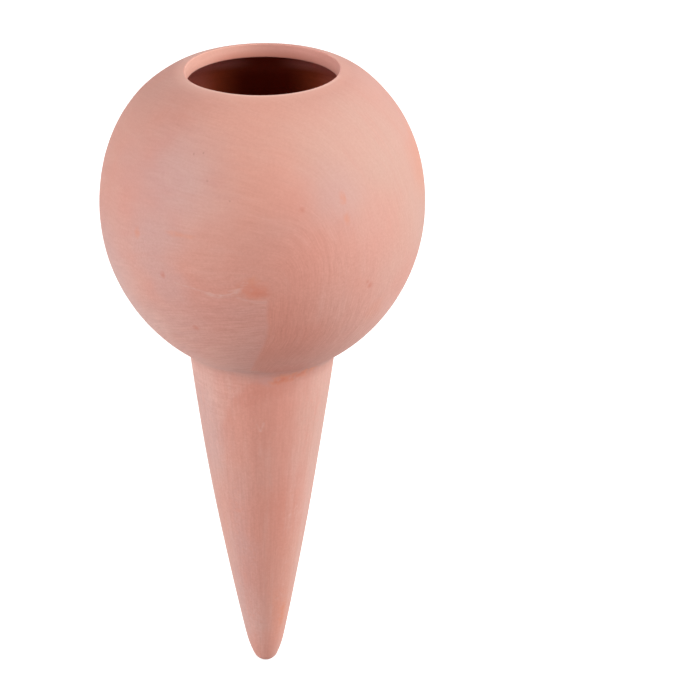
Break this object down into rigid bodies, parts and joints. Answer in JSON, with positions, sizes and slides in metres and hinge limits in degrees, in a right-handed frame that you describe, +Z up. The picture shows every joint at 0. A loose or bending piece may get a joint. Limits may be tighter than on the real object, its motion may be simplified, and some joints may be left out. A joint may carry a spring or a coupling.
{
  "type": "watering globe spike",
  "caption": "Hollow unglazed clay ball with a round mouth on a hollow tapered spike; pushed into potting soil, it seeps water to the roots.",
  "frame": {"origin": "on the axis at the soil line, where the outside of the spike meets the underside of the globe", "axes": "+Z up along the axis, out of the mouth; the spike points along -Z"},
  "size_m": [0.09, 0.09, 0.1764],
  "materials": {
    "globe_clay": "unglazed, sponge-wiped terracotta",
    "spike_clay": "unglazed terracotta, wiped along its length",
    "slip_clay": "unglazed wiped slip"
  },
  "bodies": {
    "root": {"globe": "globe_clay", "spike": "spike_clay", "luting_slip": "slip_clay"}
  },
  "joints": []
}
